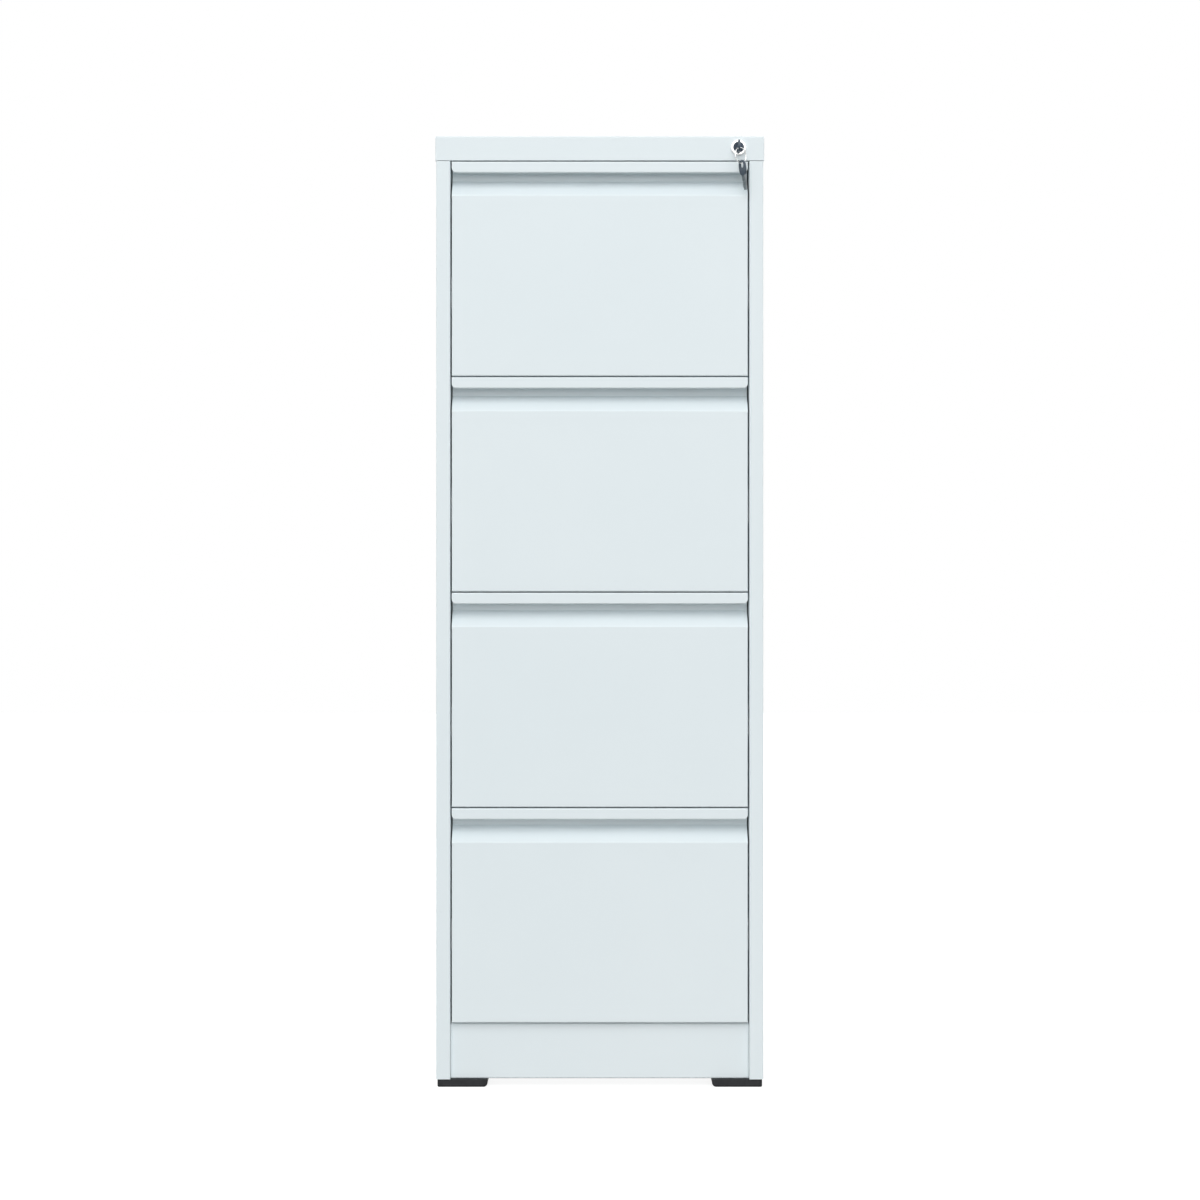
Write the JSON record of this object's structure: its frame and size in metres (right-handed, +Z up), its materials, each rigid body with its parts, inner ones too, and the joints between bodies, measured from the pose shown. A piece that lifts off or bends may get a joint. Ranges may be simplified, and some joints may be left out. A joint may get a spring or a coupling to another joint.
{
  "type": "metal filing cabinet",
  "caption": "Tall steel filing cabinet with stacked pull-out drawers on telescopic slides, finger-groove fronts, a key lock in the top cap and moulded feet.",
  "frame": {"origin": "on the floor, at the middle of the overall box, hanging keys included", "axes": "+Z up, drawers open towards -Y, +X to the right of someone facing the drawers"},
  "size_m": [0.46, 0.645, 1.33],
  "materials": {
    "white_paint": "satin powder coat, cool white",
    "zinc_plate": "bright zinc plate",
    "lock_chrome": "polished chrome",
    "lock_core": "dark nickel plate",
    "key_steel": "nickel-plated steel",
    "key_plastic": "dark blue-grey moulded plastic",
    "black_plastic": "black moulded plastic"
  },
  "bodies": {
    "carcass": {"side_panel_right": "white_paint", "side_panel_left": "white_paint", "back_panel": "white_paint", "top_cap": "white_paint", "bottom_pan": "white_paint", "plinth_panel": "white_paint", "upright_front_right": "white_paint", "upright_front_left": "white_paint", "upright_rear_right": "white_paint", "upright_rear_left": "white_paint", "foot_screws": "zinc_plate", "carcass_screws": "zinc_plate", "lock_housing": "lock_chrome", "lock_nut": "zinc_plate", "lock_bar_guides": "zinc_plate", "foot_front_right": "black_plastic", "foot_front_left": "black_plastic", "foot_rear_right": "black_plastic", "foot_rear_left": "black_plastic", "slide_outer_1": "zinc_plate", "slide_outer_2": "zinc_plate", "slide_outer_3": "zinc_plate", "slide_outer_4": "zinc_plate"},
    "drawer_1": {"drawer_1_front": "white_paint", "drawer_1_tray": "white_paint", "drawer_1_back": "white_paint", "drawer_1_file_rails": "zinc_plate", "drawer_1_screws": "white_paint", "slide_inner_1": "zinc_plate"},
    "slide_middle_1": {"slide_middle_1": "zinc_plate"},
    "drawer_2": {"drawer_2_front": "white_paint", "drawer_2_tray": "white_paint", "drawer_2_back": "white_paint", "drawer_2_file_rails": "zinc_plate", "drawer_2_screws": "white_paint", "slide_inner_2": "zinc_plate"},
    "slide_middle_2": {"slide_middle_2": "zinc_plate"},
    "drawer_3": {"drawer_3_front": "white_paint", "drawer_3_tray": "white_paint", "drawer_3_back": "white_paint", "drawer_3_file_rails": "zinc_plate", "drawer_3_screws": "white_paint", "slide_inner_3": "zinc_plate"},
    "slide_middle_3": {"slide_middle_3": "zinc_plate"},
    "drawer_4": {"drawer_4_front": "white_paint", "drawer_4_tray": "white_paint", "drawer_4_back": "white_paint", "drawer_4_file_rails": "zinc_plate", "drawer_4_screws": "white_paint", "slide_inner_4": "zinc_plate"},
    "slide_middle_4": {"slide_middle_4": "zinc_plate"},
    "lock_plug": {"lock_plug": "lock_core", "lock_cam": "zinc_plate", "cam_screw": "zinc_plate"},
    "lock_bar": {"lock_bar": "zinc_plate"},
    "key": {"key_head": "key_plastic", "key_blade": "key_steel"},
    "key_ring": {"key_ring": "lock_chrome"},
    "spare_key": {"spare_key_head": "key_plastic", "spare_key_blade": "key_steel"}
  },
  "joints": [
    {"name": "drawer_1_slide", "type": "slide", "parent": "carcass", "child": "drawer_1", "axis": [0, -1, 0], "range_m": [0, 0.55]},
    {"name": "slide_middle_1_slide", "type": "slide", "parent": "carcass", "child": "slide_middle_1", "axis": [0, -1, 0], "range_m": [0, 0.275]},
    {"name": "drawer_2_slide", "type": "slide", "parent": "carcass", "child": "drawer_2", "axis": [0, -1, 0], "range_m": [0, 0.55]},
    {"name": "slide_middle_2_slide", "type": "slide", "parent": "carcass", "child": "slide_middle_2", "axis": [0, -1, 0], "range_m": [0, 0.275]},
    {"name": "drawer_3_slide", "type": "slide", "parent": "carcass", "child": "drawer_3", "axis": [0, -1, 0], "range_m": [0, 0.55]},
    {"name": "slide_middle_3_slide", "type": "slide", "parent": "carcass", "child": "slide_middle_3", "axis": [0, -1, 0], "range_m": [0, 0.275]},
    {"name": "drawer_4_slide", "type": "slide", "parent": "carcass", "child": "drawer_4", "axis": [0, -1, 0], "range_m": [0, 0.55]},
    {"name": "slide_middle_4_slide", "type": "slide", "parent": "carcass", "child": "slide_middle_4", "axis": [0, -1, 0], "range_m": [0, 0.275]},
    {"name": "lock_turn", "type": "hinge", "parent": "carcass", "child": "lock_plug", "pos_m": [0.194, -0.2975, 1.314], "axis": [0, -1, 0], "range_deg": [0, 90]},
    {"name": "lock_bar_lift", "type": "slide", "parent": "carcass", "child": "lock_bar", "axis": [0, 0, 1], "range_m": [0, 0.01414]},
    {"name": "key_pull", "type": "slide", "parent": "lock_plug", "child": "key", "axis": [0, -1, 0], "range_m": [0, 0.02]},
    {"name": "ring_hang", "type": "hinge", "parent": "key", "child": "key_ring", "pos_m": [0.194, -0.3155, 1.30713], "axis": [0, -1, 0], "range_deg": [-90, 0]},
    {"name": "spare_key_swing", "type": "hinge", "parent": "key_ring", "child": "spare_key", "pos_m": [0.19818, -0.30989, 1.28991], "axis": [-1, 0, 0], "range_deg": [-4, 45]}
  ],
  "couplings": [
    {"joint": "slide_middle_1_slide", "follows": "drawer_1_slide", "ratio": 0.5},
    {"joint": "slide_middle_2_slide", "follows": "drawer_2_slide", "ratio": 0.5},
    {"joint": "slide_middle_3_slide", "follows": "drawer_3_slide", "ratio": 0.5},
    {"joint": "slide_middle_4_slide", "follows": "drawer_4_slide", "ratio": 0.5},
    {"joint": "lock_turn", "follows": "lock_bar_lift", "rad_per_m": 111.07},
    {"joint": "ring_hang", "follows": "lock_bar_lift", "rad_per_m": -111.07}
  ]
}
